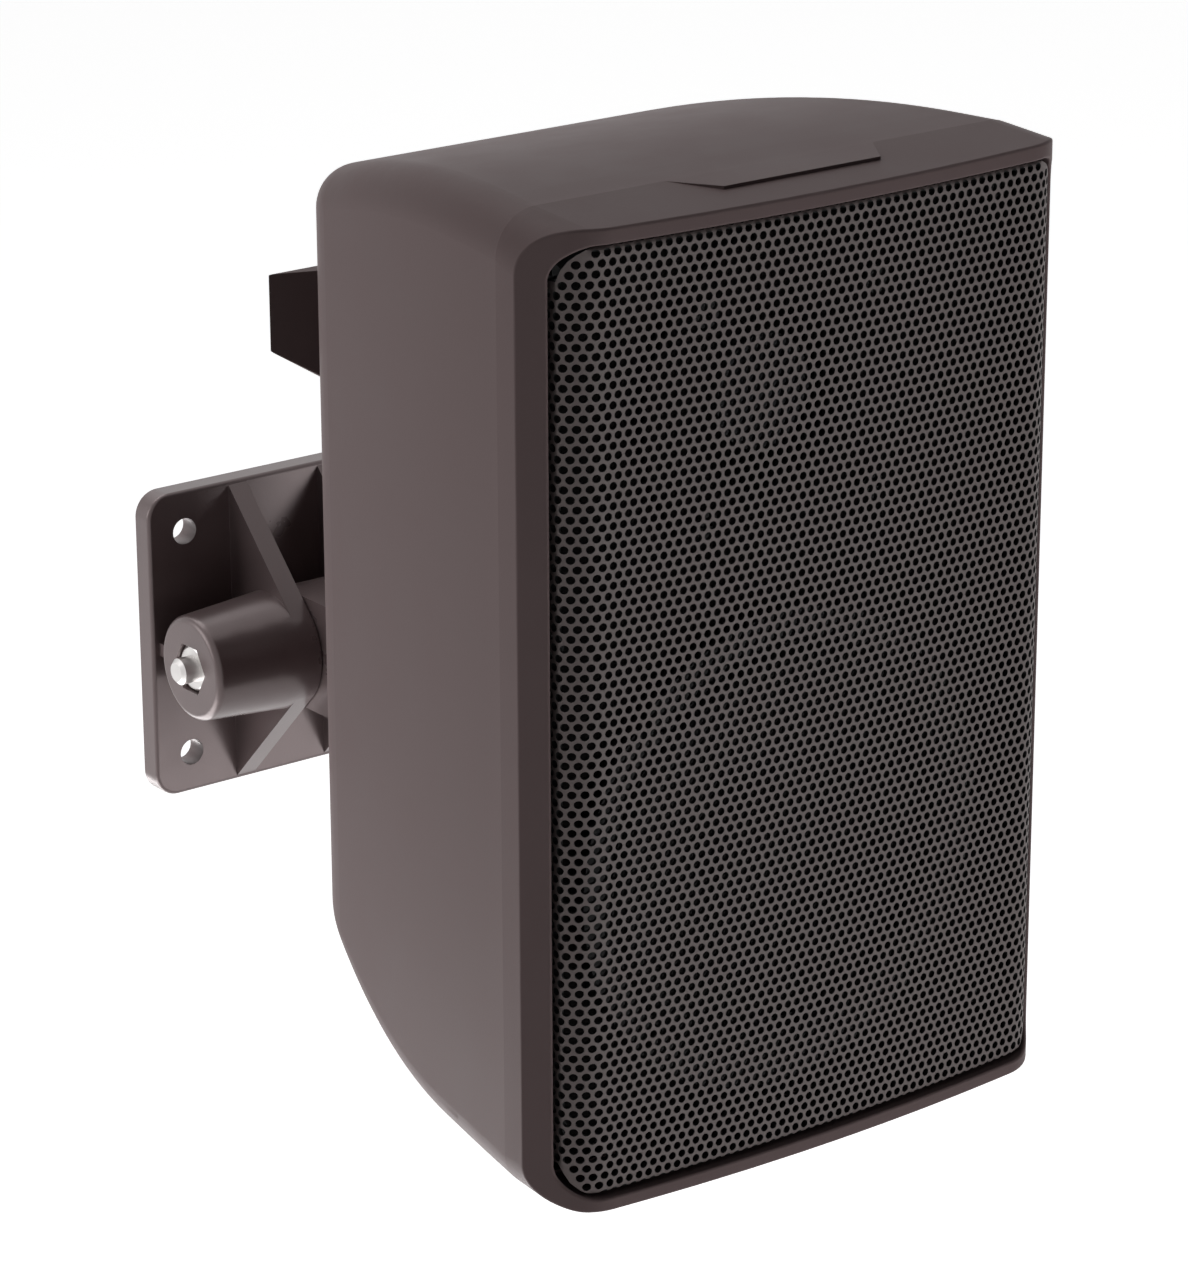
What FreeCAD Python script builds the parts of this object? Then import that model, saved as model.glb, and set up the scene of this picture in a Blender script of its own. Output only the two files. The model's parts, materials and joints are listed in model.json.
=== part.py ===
"""Two-way wall loudspeaker on a clamped tilt bracket, in millimetres.

The origin is the centre of the wall plate's back face. +Y runs into the wall, +Z is up,
and the loudspeaker looks along -Y. "Depth" is measured back from the grille's front,
and "height" from the middle of the cabinet's front.
"""
import FreeCAD
import Part
import Sketcher
import math
import os

doc = FreeCAD.newDocument("Loudspeaker")

# Driving dimensions: alias, value, meaning
DIMENSIONS = [
    ("reach", 262.5, "grille front to wall"),
    ("rise", 52.8, "cabinet middle above the tilt pivot"),
    ("kink_width", 172.8, "cabinet width where shell and baffle meet"),
    ("kink_depth", 25.4, "depth of the joint between shell and baffle"),
    ("top_height", 133.3, "flat top above the cabinet middle"),
    ("bottom_drop", 129.7, "flat bottom below the cabinet middle"),
    ("taper_angle", 10.4, "angle of the side where it leaves the joint"),
    ("turn_angle", 15, "angle of the side where the rear corner begins"),
    ("side_radius", 1443, "bow of the side in plan"),
    ("corner_radius", 38.2, "rear corner in plan"),
    ("top_flat", 38.5, "depth where the top starts to fall"),
    ("top_radius", 357, "curve of the falling top"),
    ("bottom_flat", 67, "depth where the bottom starts to sweep up"),
    ("bottom_radius", 143, "curve of the swept bottom"),
    ("top_round", 12, "edge round between top and side"),
    ("bottom_round", 10, "edge round between bottom and side"),
    ("wall", 3, "shell wall"),
    ("band_flare", 4.2, "how far the band widens to the front on each side"),
    ("band_fall", 2.06, "how far the band drops to the front, top and bottom"),
    ("band_lead", 6, "how far the band's form runs past the grille front"),
    ("front_round", 16, "corner of the bezel's outline"),
    ("front_radius", 757, "bow of the front in plan"),
    ("bezel_lead", 2, "how far the bezel stands in front of the grille"),
    ("bezel_turn", 17.4, "cabinet side to the end of the bezel's plain bow"),
    ("roll_radius", 16, "turn from the bow to the bezel's side bevel"),
    ("roll_angle", 50, "angle of the bezel's side bevel"),
    ("rim_side", 4.8, "cabinet side to the grille recess"),
    ("rim_top", 5.75, "flat top down to the grille recess"),
    ("rim_bottom", 2.15, "flat bottom up to the grille recess"),
    ("recess_round", 9.5, "corner of the grille recess"),
    ("rim_round", 0.7, "round of the recess's rim"),
    ("edge_round", 0.8, "round of the bezel's outer edge"),
    ("floor_depth", 22, "front face of the driver board"),
    ("board", 6, "driver board thickness"),
    ("tongue_gap", 1.2, "board edge to shell wall"),
    ("tab_front", 12.2, "depth of the top tab's front"),
    ("tab_rear_width", 68, "top tab at the joint"),
    ("tab_front_width", 51, "top tab at its front"),
    ("tab_thick", 3, "top tab"),
    ("grille_gap", 0.8, "grille to recess wall, top and bottom"),
    ("grille_side_gap", 1.35, "grille to recess wall at the sides"),
    ("grille_turn", 10.25, "grille's side to the end of its plain bow"),
    ("grille_roll", 14.5, "turn from the grille's bow to its side bevel"),
    ("grille_angle", 43, "angle of the grille's side bevel"),
    ("grille_bend", 1.4, "bend round the grille's front edge"),
    ("sheet", 1.2, "grille steel"),
    ("screw_side", 12.4, "baffle screws in from the cabinet side"),
    ("screw_down", 17.3, "upper baffle screws below the flat top"),
    ("screw_mid", 20, "middle baffle screws above the middle"),
    ("screw_up", 15.7, "lower baffle screws above the flat bottom"),
    ("post_r", 4.6, "screw post in the shell"),
    ("post_len", 34, "screw post length"),
    ("baffle_screw_r", 2, "baffle screw shank"),
    ("baffle_screw_len", 20, "baffle screw under its head"),
    ("head_r", 3.6, "driver and baffle screw heads"),
    ("head_thick", 2.4, "driver and baffle screw heads"),
    ("drive_wide", 0.9, "slot of the cross recess"),
    ("drive_long", 4.2, "span of the cross recess"),
    ("drive_deep", 1.2, "depth of the cross recess"),
    ("pilot_gap", 0.3, "screw hole clearance on the radius"),
    ("woofer_share", 0.4, "woofer axis, as a share of the way from the middle to the flat bottom"),
    ("woofer_r", 67, "woofer flange"),
    ("woofer_flange", 4, "woofer flange thickness"),
    ("woofer_hole_gap", 0.8, "basket to board opening"),
    ("mouth_in", 10, "woofer flange outside the basket's mouth"),
    ("basket_foot_r", 37, "basket at the magnet"),
    ("basket_eye_r", 18.6, "hole in the basket's floor"),
    ("basket_len", 36, "flange back to top plate"),
    ("basket_skin", 2, "basket sheet"),
    ("basket_windows", 6, "openings round the basket"),
    ("roll_width", 8, "surround's roll between flange and cone"),
    ("cone_thick", 1, "cone paper"),
    ("cone_drop", 17, "cone edge to neck"),
    ("surround_in", 10, "woofer flange outside the surround's roll"),
    ("lip", 1.5, "surround's glued lips"),
    ("surround_skin", 0.8, "surround rubber"),
    ("cap_r", 19, "dust cap edge"),
    ("cap_rise", 7, "dust cap height"),
    ("coil_r", 12.6, "voice coil former inside"),
    ("coil_wall", 0.5, "voice coil and former"),
    ("gap_clear", 0.6, "voice coil to iron"),
    ("throw", 3, "cone travel each way"),
    ("plate_thick_top", 5, "woofer top plate"),
    ("magnet_r", 42, "woofer magnet"),
    ("magnet_eye_r", 18, "woofer magnet"),
    ("magnet_lip", 4, "how far the magnet stands out past the iron"),
    ("magnet_thick", 14, "woofer magnet"),
    ("yoke_thick", 5, "woofer yoke"),
    ("spider_r", 29, "spider's free part"),
    ("spider_lip", 4, "spider's glued edge"),
    ("spider_land", 5, "spider's seat above the basket's floor"),
    ("spider_wave", 2, "height of the spider's waves"),
    ("spider_skin", 0.5, "spider cloth"),
    ("gasket_thick", 1.5, "gasket behind the woofer's flange"),
    ("tweeter_share", 0.54, "tweeter axis, as a share of the way from the middle to the flat top"),
    ("tweeter_r", 46, "tweeter face plate"),
    ("tweeter_flange", 4, "tweeter face plate thickness"),
    ("horn_r", 30, "tweeter horn mouth"),
    ("horn_depth", 10, "tweeter horn"),
    ("horn_curve", 16, "curve of the horn's wall"),
    ("throat_lip", 3, "seat round the dome"),
    ("throat_floor", 2, "thickness of that seat"),
    ("tweeter_gap", 0.6, "tweeter coil to iron"),
    ("tweeter_coil_len", 5, "tweeter coil in its groove"),
    ("dome_r", 12.5, "tweeter dome"),
    ("dome_rise", 5, "tweeter dome height"),
    ("dome_skin", 0.4, "tweeter dome film"),
    ("dome_throw", 0.3, "tweeter travel each way"),
    ("tweeter_magnet_r", 30, "tweeter magnet"),
    ("tweeter_magnet_thick", 14, "tweeter magnet"),
    ("driver_screw_len", 9, "driver screws under their heads"),
    ("tweeter_back_r", 32, "tweeter rear housing of the plate"),
    ("plate", 95, "square wall plate"),
    ("plate_thick", 7.2, "wall plate"),
    ("plate_round", 7.5, "wall plate corner"),
    ("plate_edge", 1.2, "round of the wall plate's front edge"),
    ("bolt_pitch", 70, "wall holes, both ways"),
    ("bolt_hole_r", 4, "wall holes"),
    ("pivot_out", 27.5, "tilt pivot from the wall"),
    ("web_inside", 12.7, "bracket web, inner face from the middle"),
    ("web", 6.5, "bracket web"),
    ("hub_root_r", 18, "pivot hub at the web"),
    ("hub_end_r", 16, "pivot hub at its end"),
    ("hub_round", 2.3, "round of the hub's end"),
    ("rib", 4, "rib between plate and hub"),
    ("pivot_r", 4, "pivot bolt"),
    ("pivot_gap", 0.06, "pivot bolt in its holes, on the radius"),
    ("hex", 13, "bolt head and nut across flats"),
    ("hex_gap", 0.5, "hex recess clearance each side"),
    ("hex_depth", 7.5, "hex recess"),
    ("nut", 6.5, "pivot nut"),
    ("nut_face_r", 6.2, "flat face of nut and bolt head"),
    ("head", 5.3, "pivot bolt head"),
    ("stub", 4.8, "bolt end past the hub"),
    ("tip", 1.1, "bolt end chamfer"),
    ("arm_gap", 0.3, "arm to bracket web"),
    ("arm_r", 17.5, "arm's round end, half its height"),
    ("foot_width", 47, "arm's foot on the cabinet"),
    ("foot_up", 46, "arm's foot above the pivot"),
    ("foot_down", 22, "arm's foot below the pivot"),
    ("foot_thick", 6, "arm's foot"),
    ("foot_round", 6, "corner of the arm's foot"),
    ("arm_screw_x", 18, "arm screws from the middle"),
    ("arm_screw_up", 39, "upper arm screws above the pivot"),
    ("arm_screw_down", 15, "lower arm screws below the pivot"),
    ("arm_screw_r", 2.5, "arm screw shank"),
    ("arm_screw_len", 14, "arm screw under its head"),
    ("arm_head_r", 4.5, "arm screw head"),
    ("arm_head_thick", 3, "arm screw head"),
    ("arm_socket", 4, "arm screw socket across flats"),
    ("arm_socket_deep", 1.6, "arm screw socket"),
    ("anchor_r", 6, "screw anchor inside the shell"),
    ("anchor_len", 9, "screw anchor inside the shell"),
    ("cover_thick", 13.3, "terminal cover, cabinet back to rear face"),
    ("cover_half", 52, "terminal cover, half its width at the rear"),
    ("cover_root", 15.5, "terminal cover, half its width at the cabinet"),
    ("cover_top", 79.5, "terminal cover's top above the middle"),
    ("cover_end", 22, "terminal cover's height at its ends"),
    ("slope_angle", 32, "fall of the cover's lower edges"),
    ("cover_foot", 16, "half width of the cover's lowest edge"),
    ("cover_wall", 2.5, "terminal cover"),
    ("entry_wide", 16, "cable entry under the cover"),
    ("entry_deep", 6, "cable entry, front to back"),
    ("cover_screw_x", 7, "cover screws from the middle"),
    ("cover_screw_down", 7, "cover screws below the cover's top"),
    ("cover_post_r", 3, "screw post in the cover"),
    ("cover_screw_r", 1.5, "cover screw shank"),
    ("cover_head_r", 2.8, "cover screw head"),
    ("cover_head_thick", 1.8, "cover screw head"),
    ("terminal_gap", 1.2, "terminal block to the cover's mouth"),
    ("terminal_height", 16, "terminal block"),
    ("terminal_thick", 8, "terminal block"),
    ("terminal_hole_r", 2, "wire holes in the terminal block"),
    ("terminal_pitch", 7, "wire holes in the terminal block"),
    ("circuit_width", 96, "crossover board"),
    ("circuit_depth", 30, "crossover board"),
    ("circuit_thick", 1.6, "crossover board"),
    ("circuit_front", 36, "crossover board's front edge"),
    ("standoff", 4, "crossover board above the shell's floor"),
    ("standoff_r", 3, "crossover standoff"),
    ("standoff_inset", 5, "standoff from the board's edge"),
    ("circuit_screw_r", 1.2, "crossover screw shank"),
    ("circuit_screw_len", 5.4, "crossover screw under its head"),
    ("circuit_head_r", 2.4, "crossover screw head"),
    ("circuit_head_thick", 1.6, "crossover screw head"),
    ("choke_x", 24, "choke from the middle"),
    ("choke_r", 11, "crossover choke"),
    ("choke_hole_r", 4, "crossover choke"),
    ("choke_tall", 12, "crossover choke"),
    ("capacitor_r", 5, "crossover capacitor"),
    ("capacitor_len", 22, "crossover capacitor"),
    ("part_pitch", 7, "capacitor and resistor from the board's middle line"),
    ("resistor_len", 20, "crossover resistor"),
    ("resistor_wide", 7, "crossover resistor"),
    ("resistor_tall", 6, "crossover resistor"),
    ("wadding_half", 44, "damping wadding, half its width"),
    ("wadding_tall", 80, "damping wadding"),
    ("wadding_low", 56, "damping wadding's lower edge above the pivot"),
    ("wadding_thick", 14, "damping wadding"),
]

sheet = doc.addObject("Spreadsheet::Sheet", "Sizes")
for row, (alias, number, meaning) in enumerate(DIMENSIONS, start=1):
    sheet.set(f"A{row}", meaning)
    sheet.set(f"B{row}", str(number))
    sheet.setAlias(f"B{row}", alias)
doc.recompute()


class Size:
    """A length that knows both its number and the sheet formula it comes from."""

    def __init__(self, value, text, bound):
        self.value = value
        self.text = text
        self.bound = bound

    def join(self, sign, other, value):
        return Size(value, f"({self.text} {sign} {other.text})", self.bound or other.bound)

    def __add__(self, other):
        other = measure(other)
        return self.join("+", other, self.value + other.value)

    def __sub__(self, other):
        other = measure(other)
        return self.join("-", other, self.value - other.value)

    def __mul__(self, other):
        other = measure(other)
        return self.join("*", other, self.value * other.value)

    def __truediv__(self, other):
        other = measure(other)
        return self.join("/", other, self.value / other.value)

    def __radd__(self, other):
        return measure(other) + self

    def __rsub__(self, other):
        return measure(other) - self

    def __rmul__(self, other):
        return measure(other) * self

    def __neg__(self):
        return measure(0) - self


def measure(value):
    """A plain number or a Size, as a Size."""
    if isinstance(value, Size):
        return value
    return Size(float(value), f"({float(value)})", False)


def of(alias):
    """The sheet's dimension of that name."""
    return Size(float(sheet.get(alias)), f"Sizes.{alias}", True)


def function(name, argument, value):
    return Size(value, f"{name}({argument.text})", argument.bound)


def root(square):
    return function("sqrt", square, math.sqrt(square.value))


def sine(angle):
    return function("sin", measure(angle), math.sin(math.radians(measure(angle).value)))


def cosine(angle):
    return function("cos", measure(angle), math.cos(math.radians(measure(angle).value)))


def at_depth(depth):
    """Y of a depth behind the grille's front."""
    return measure(depth) - of("reach")


def at_height(height):
    """Z of a height above the middle of the cabinet."""
    return measure(height) + of("rise")


class Drawing:
    """Closed outlines in a sketch, every point and radius bound to the sheet."""

    def __init__(self, sketch):
        self.sketch = sketch

    def bind(self, constraint, size):
        index = self.sketch.addConstraint(constraint)
        if size.bound:
            self.sketch.setExpression(f"Constraints[{index}]", size.text)

    def pin(self, geometry, end, x, y):
        self.bind(Sketcher.Constraint("DistanceX", -1, 1, geometry, end, x.value), x)
        self.bind(Sketcher.Constraint("DistanceY", -1, 1, geometry, end, y.value), y)

    def circle(self, x, y, radius):
        x, y, radius = measure(x), measure(y), measure(radius)
        shape = Part.Circle(FreeCAD.Vector(x.value, y.value, 0), FreeCAD.Vector(0, 0, 1), radius.value)
        geometry = self.sketch.addGeometry(shape, False)
        self.pin(geometry, 3, x, y)
        self.bind(Sketcher.Constraint("Radius", geometry, radius.value), radius)

    def loop(self, points):
        """Points are (x, y), or (x, y, radius, turn) where an arc runs to the next point:
        turn is 1 for an arc that bears left and -1 for one that bears right."""
        starts = []
        ends = []
        for index, point in enumerate(points):
            following = points[(index + 1) % len(points)]
            first = FreeCAD.Vector(measure(point[0]).value, measure(point[1]).value, 0)
            last = FreeCAD.Vector(measure(following[0]).value, measure(following[1]).value, 0)
            if len(point) == 2:
                geometry = self.sketch.addGeometry(Part.LineSegment(first, last), False)
            else:
                radius = measure(point[2])
                chord = last - first
                left = FreeCAD.Vector(-chord.y, chord.x, 0).normalize() * point[3]
                sag = radius.value - math.sqrt(max(0.0, radius.value ** 2 - chord.Length ** 2 / 4))
                middle = (first + last) / 2 - left * sag
                geometry = self.sketch.addGeometry(Part.Arc(first, middle, last), False)
            forward = self.sketch.getPoint(geometry, 1).distanceToPoint(first) < 1e-6
            starts.append((geometry, 1 if forward else 2))
            ends.append((geometry, 2 if forward else 1))
        for index, point in enumerate(points):
            self.sketch.addConstraint(Sketcher.Constraint("Coincident", *ends[index - 1], *starts[index]))
            self.pin(*starts[index], measure(point[0]), measure(point[1]))
            if len(point) > 2:
                radius = measure(point[2])
                self.bind(Sketcher.Constraint("Radius", starts[index][0], radius.value), radius)

    def box(self, left, low, right, high):
        self.loop([(left, low), (right, low), (right, high), (left, high)])

    def rounded(self, left, low, right, high, low_round, high_round):
        """A rectangle with one radius at its lower corners and one at its upper corners."""
        self.loop([
            (left + low_round, low), (right - low_round, low, low_round, 1),
            (right, low + low_round), (right, high - high_round, high_round, 1),
            (right - high_round, high), (left + high_round, high, high_round, 1),
            (left, high - high_round), (left, low + low_round, low_round, 1),
        ])

    def hexagon(self, x, y, across):
        """A hexagon with flats above and below."""
        corner = across / math.sqrt(3)
        self.loop([(x + corner * math.cos(math.radians(turn)), y + corner * math.sin(math.radians(turn)))
                   for turn in range(0, 360, 60)])


# Sketch planes: the origin plane's role and the direction of its normal along the world axis
PLANES = {"top": ("XY_Plane", 1), "front": ("XZ_Plane", -1), "side": ("YZ_Plane", 1)}


class Piece:
    """A body made of bound sketches. Levels are world coordinates across the sketch plane."""

    def __init__(self, label):
        self.body = doc.addObject("PartDesign::Body", label)
        self.body.Label = label
        self.count = 0

    def name(self, kind):
        self.count += 1
        return f"{self.body.Label}_{kind}{self.count}"

    def draw(self, plane, level, shift, outline):
        role, sign = PLANES[plane]
        sketch = self.body.newObject("Sketcher::SketchObject", self.name("sketch"))
        sketch.AttachmentSupport = [(next(f for f in self.body.Origin.OriginFeatures if f.Role == role), "")]
        sketch.MapMode = "FlatFace"
        offsets = {"x": measure(shift[0]), "y": measure(shift[1]), "z": measure(level) * sign}
        base = FreeCAD.Vector(*[offset.value for offset in offsets.values()])
        sketch.AttachmentOffset = FreeCAD.Placement(base, FreeCAD.Rotation())
        for axis, offset in offsets.items():
            if offset.bound:
                sketch.setExpression(f"AttachmentOffset.Base.{axis}", offset.text)
        outline(Drawing(sketch))
        return sketch

    def feature(self, kind, sketch, length=None):
        made = self.body.newObject(f"PartDesign::{kind}", self.name(kind.lower()))
        made.Profile = sketch
        if length is not None:
            made.Length = length.value
            made.setExpression("Length", length.text)
        return made

    def pad(self, plane, low, high, outline, shift=(0, 0)):
        low, high = measure(low), measure(high)
        start = high if plane == "front" else low
        self.feature("Pad", self.draw(plane, start, shift, outline), high - low)
        doc.recompute()
        return self

    def cut(self, plane, low, high, outline, shift=(0, 0)):
        low, high = measure(low), measure(high)
        before = self.body.Shape.Volume
        start = low if plane == "front" else high
        self.feature("Pocket", self.draw(plane, start, shift, outline), high - low)
        doc.recompute()
        if not self.body.Shape.Volume < before:
            raise ValueError(f"{self.body.Label}: a cut removed nothing")
        return self

    def pocket_top(self, face, deep, outline):
        """Sink an outline into a face that looks at the wall."""
        return self.cut("front", face - deep, face, outline)

    def turn(self, plane, shift, outline, kind="Revolution"):
        """Turn an outline round its sketch's own horizontal axis."""
        sketch = self.draw(plane, 0, shift, outline)
        made = self.feature(kind, sketch)
        made.ReferenceAxis = (sketch, ["H_Axis"])
        made.Angle = 360
        doc.recompute()
        return self

    def fillet(self, chosen, radius):
        base = self.body.Tip
        names = [f"Edge{index}" for index, edge in enumerate(base.Shape.Edges, start=1) if chosen(edge)]
        made = self.body.newObject("PartDesign::Fillet", self.name("fillet"))
        made.Base = (base, names)
        made.Radius = radius.value
        made.setExpression("Radius", radius.text)
        doc.recompute()
        return self


def combine(kind, label, base, *tools):
    """A boolean of whole objects."""
    made = doc.addObject(f"Part::{kind}", label)
    if kind == "MultiFuse":
        made.Shapes = [base, *tools]
    else:
        made.Base = base
        made.Tool = tools[0]
    made.Label = label
    doc.recompute()
    return made


def round_edges(label, base, choose):
    """Fillet the edges of a whole object; choose gives each edge's radius or None."""
    made = doc.addObject("Part::Fillet", label)
    made.Base = base
    picked = []
    for index, edge in enumerate(base.Shape.Edges, start=1):
        radius = choose(edge, base.Shape.ancestorsOfType(edge, Part.Face))
        if radius is not None:
            picked.append((index, radius.value, radius.value))
    made.Edges = picked
    made.Label = label
    doc.recompute()
    return made


def facing(face):
    """The face's outward normal at its middle."""
    low_u, high_u, low_v, high_v = face.ParameterRange
    return face.normalAt((low_u + high_u) / 2, (low_v + high_v) / 2)


def depth_span(edge):
    """The least and greatest Y along an edge."""
    points = edge.discretize(9)
    return min(point.y for point in points), max(point.y for point in points)


def posts(label, plane, places, steps):
    """Round posts at each place; steps are (radius, low level, high level)."""
    piece = Piece(label)

    for radius, low, high in steps:
        def rings(drawing, radius=radius):
            for x, y in places:
                drawing.circle(x, y, radius)
        piece.pad(plane, low, high, rings)
    return piece


def cross_recess(piece, face, places):
    """Cross-shaped driver recesses in a group of screw heads that look forward."""
    half = of("drive_wide") / 2
    arm = of("drive_long") / 2

    def crosses(drawing):
        for x, y in places:
            corners = [(half, half), (half, arm), (-half, arm), (-half, half), (-arm, half), (-arm, -half),
                       (-half, -half), (-half, -arm), (half, -arm), (half, -half), (arm, -half), (arm, half)]
            drawing.loop([(x + across, y + up) for across, up in corners])
    piece.cut("front", face, face + of("drive_deep"), crosses)


nodes = []


def node(made):
    """Note a finished sub-part."""
    nodes.append(made.body if isinstance(made, Piece) else made)
    return nodes[-1]


# Cabinet shell: a D-shaped plan and a swept side profile, taken together, rounded and hollowed
half_kink = of("kink_width") / 2
bow_x = half_kink - of("side_radius") * cosine(of("taper_angle"))
bow_y = of("kink_depth") - of("side_radius") * sine(of("taper_angle"))
corner_x = bow_x + (of("side_radius") - of("corner_radius")) * cosine(of("turn_angle"))
corner_y = bow_y + (of("side_radius") - of("corner_radius")) * sine(of("turn_angle"))
back_depth = corner_y + of("corner_radius")
past = 6


def shell_plan(inset):
    """The plan of the shell, drawn in from its outside by inset."""
    bow = of("side_radius") - inset
    corner = of("corner_radius") - inset
    front = (bow_x + bow * cosine(of("taper_angle")), at_depth(bow_y + bow * sine(of("taper_angle"))))
    joint = (bow_x + bow * cosine(of("turn_angle")), at_depth(bow_y + bow * sine(of("turn_angle"))))
    back = at_depth(corner_y + corner)
    return [(-front[0], front[1]), (*front, bow, 1), (*joint, corner, 1), (corner_x, back),
            (-corner_x, back, corner, 1), (-joint[0], joint[1], bow, 1)]


def shell_profile(inset):
    """The side view of the shell: flat then swept bottom, flat then falling top."""
    far = back_depth + past
    near = of("kink_depth") - past
    low = of("bottom_radius") - inset
    high = of("top_radius") - inset
    low_run = far - of("bottom_flat")
    high_run = far - of("top_flat")
    low_far = of("bottom_radius") - of("bottom_drop") - root(low * low - low_run * low_run)
    high_far = of("top_height") - of("top_radius") + root(high * high - high_run * high_run)
    floor = at_height(inset - of("bottom_drop"))
    roof = at_height(of("top_height") - inset)
    return [(at_depth(near), floor), (at_depth(of("bottom_flat")), floor, low, 1),
            (at_depth(far), at_height(low_far)), (at_depth(far), at_height(high_far), high, 1),
            (at_depth(of("top_flat")), roof), (at_depth(near), roof)]


def shell_form(label, inset):
    """The shell's outer form, or its hollow when drawn in by the wall."""
    plan = Piece(f"{label}_plan").pad(
        "top", at_height(-of("bottom_drop") - past), at_height(of("top_height") + past),
        lambda drawing: drawing.loop(shell_plan(inset)))
    side = Piece(f"{label}_side").pad(
        "side", -half_kink - past, half_kink + past, lambda drawing: drawing.loop(shell_profile(inset)))
    block = combine("Common", f"{label}_block", plan.body, side.body)

    def edge_radius(edge, faces):
        lean = sorted(facing(face).z for face in faces)
        if depth_span(edge)[1] < at_depth(of("kink_depth")).value + 0.01 or len(lean) < 2:
            return None
        if abs(lean[0]) < 0.2 and lean[1] > 0.5:
            return of("top_round") - inset
        if lean[0] < -0.5 and abs(lean[1]) < 0.2:
            return of("bottom_round") - inset
        return None
    return round_edges(f"{label}_rounded", block, edge_radius)


outer_form = shell_form("shell_outer", measure(0))
hollow_form = shell_form("shell_hollow", of("wall"))
tub = combine("Cut", "shell_tub", outer_form, hollow_form)

screw_x = half_kink - of("screw_side")
screw_heights = (of("top_height") - of("screw_down"), of("screw_mid"), of("screw_up") - of("bottom_drop"))
baffle_places = [(side * screw_x, at_height(height)) for height in screw_heights for side in (-1, 1)]
board_back = of("floor_depth") + of("board")
screw_hole_r = of("baffle_screw_r") + of("pilot_gap")
shell_posts = posts("shell_posts", "front", baffle_places,
                    [(of("post_r"), at_depth(board_back), at_depth(board_back + of("post_len")))])
arm_places = [(side * of("arm_screw_x"), level)
              for level in (of("arm_screw_up"), -of("arm_screw_down")) for side in (-1, 1)]
anchor_front = at_depth(back_depth - of("wall") - of("anchor_len"))
shell_anchors = posts("shell_anchors", "front", arm_places, [(of("anchor_r"), anchor_front, at_depth(back_depth))])
circuit_low = at_height(of("wall") - of("bottom_drop")) + of("standoff")
circuit_x = of("circuit_width") / 2 - of("standoff_inset")
circuit_ends = (of("circuit_front") + of("standoff_inset"),
                of("circuit_front") + of("circuit_depth") - of("standoff_inset"))
circuit_places = [(side * circuit_x, at_depth(depth)) for depth in circuit_ends for side in (-1, 1)]
shell_standoffs = posts("shell_standoffs", "top", circuit_places,
                        [(of("standoff_r"), at_height(-of("bottom_drop") + of("wall") / 2), circuit_low)])
fittings = combine("MultiFuse", "shell_fittings", shell_posts.body, shell_anchors.body, shell_standoffs.body)
fitted = combine("Common", "shell_fittings_inside", outer_form, fittings)
filled = combine("MultiFuse", "shell_filled", tub, fitted)
shell_holes = posts("shell_holes", "front", baffle_places,
                    [(screw_hole_r, at_depth(board_back - 1), at_depth(board_back + of("baffle_screw_len")))])
arm_hole_r = of("arm_screw_r") + of("pilot_gap")
arm_holes = posts("shell_arm_holes", "front", arm_places,
                  [(arm_hole_r, at_depth(back_depth - of("arm_screw_len")), at_depth(back_depth + 1))])
circuit_hole_r = of("circuit_screw_r") + of("pilot_gap")
circuit_holes = posts("shell_circuit_holes", "top", circuit_places,
                      [(circuit_hole_r, circuit_low - of("standoff"), circuit_low + 1)])
cover_places = [(side * of("cover_screw_x"), at_height(of("cover_top") - of("cover_screw_down"))) for side in (-1, 1)]
cover_hole_r = of("cover_screw_r") + of("pilot_gap")
cover_holes = posts("shell_cover_holes", "front", cover_places,
                    [(cover_hole_r, at_depth(back_depth - of("wall") - 1), at_depth(back_depth + 1))])
drilled = combine("MultiFuse", "shell_drilled", shell_holes.body, arm_holes.body,
                  circuit_holes.body, cover_holes.body)
node(combine("Cut", "cabinet_shell", filled, drilled))

# Front baffle: the band and bezel round the grille recess, with the driver board behind
def front_plan(drawing, crown, bow_half, roll, angle, inset, wide, back):
    """A plan with a bowed front from depth crown, turning at bow_half into a bevel at each side,
    all drawn in by inset, and a straight back."""
    bow_sine = bow_half / of("front_radius")
    bow_cosine = root(1 - bow_sine * bow_sine)
    bow = of("front_radius") - inset
    turn = roll - inset
    start = (bow * bow_sine, crown + of("front_radius") - bow * bow_cosine)
    end = (start[0] + turn * (sine(angle) - bow_sine), start[1] + turn * (bow_cosine - cosine(angle)))
    corner = (wide, at_depth(end[1] + (wide - end[0]) * sine(angle) / cosine(angle)))
    drawing.loop([
        (-start[0], at_depth(start[1]), bow, 1), (start[0], at_depth(start[1]), turn, 1),
        (end[0], at_depth(end[1])), corner, (wide, at_depth(back)), (-wide, at_depth(back)), (-wide, corner[1]),
        (-end[0], at_depth(end[1]), turn, 1),
    ])


def bezel_plan(drawing):
    front_plan(drawing, -of("bezel_lead"), half_kink - of("bezel_turn"), of("roll_radius"), of("roll_angle"),
               measure(0), half_kink + of("band_flare") + 1, of("kink_depth") + 1)


def band_rear(drawing):
    drawing.rounded(-half_kink, at_height(-of("bottom_drop")), half_kink, at_height(of("top_height")),
                    of("bottom_round"), of("top_round"))


def band_front(drawing):
    half = half_kink + of("band_flare")
    drawing.rounded(-half, at_height(-of("bottom_drop") - of("band_fall")), half,
                    at_height(of("top_height") - of("band_fall")), of("front_round"), of("front_round"))


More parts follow.
